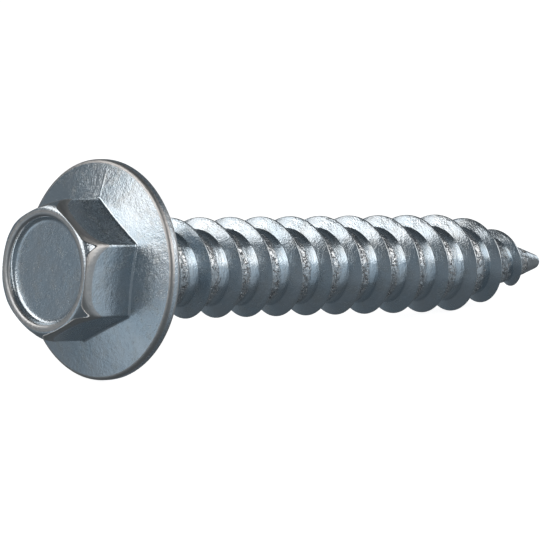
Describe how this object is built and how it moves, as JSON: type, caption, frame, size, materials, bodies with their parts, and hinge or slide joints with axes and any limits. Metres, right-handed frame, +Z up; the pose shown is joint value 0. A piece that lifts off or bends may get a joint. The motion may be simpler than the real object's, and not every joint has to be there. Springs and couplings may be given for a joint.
{
  "type": "metal roofing screw",
  "caption": "Self-tapping roofing screw with a recessed hexagon head, a wide flange in one piece with it, a coarse thread along the shank and a tapered point.",
  "frame": {"origin": "middle of the lying screw's box, on the ground it lies on", "axes": "+Z up from the ground, +X along the screw towards its point, which dips towards the ground"},
  "size_m": [0.045, 0.014, 0.014],
  "materials": {
    "zinc_plate": "bright blue-white zinc plating on steel, fine grain"
  },
  "bodies": {
    "root": {"screw": "zinc_plate"}
  },
  "joints": []
}
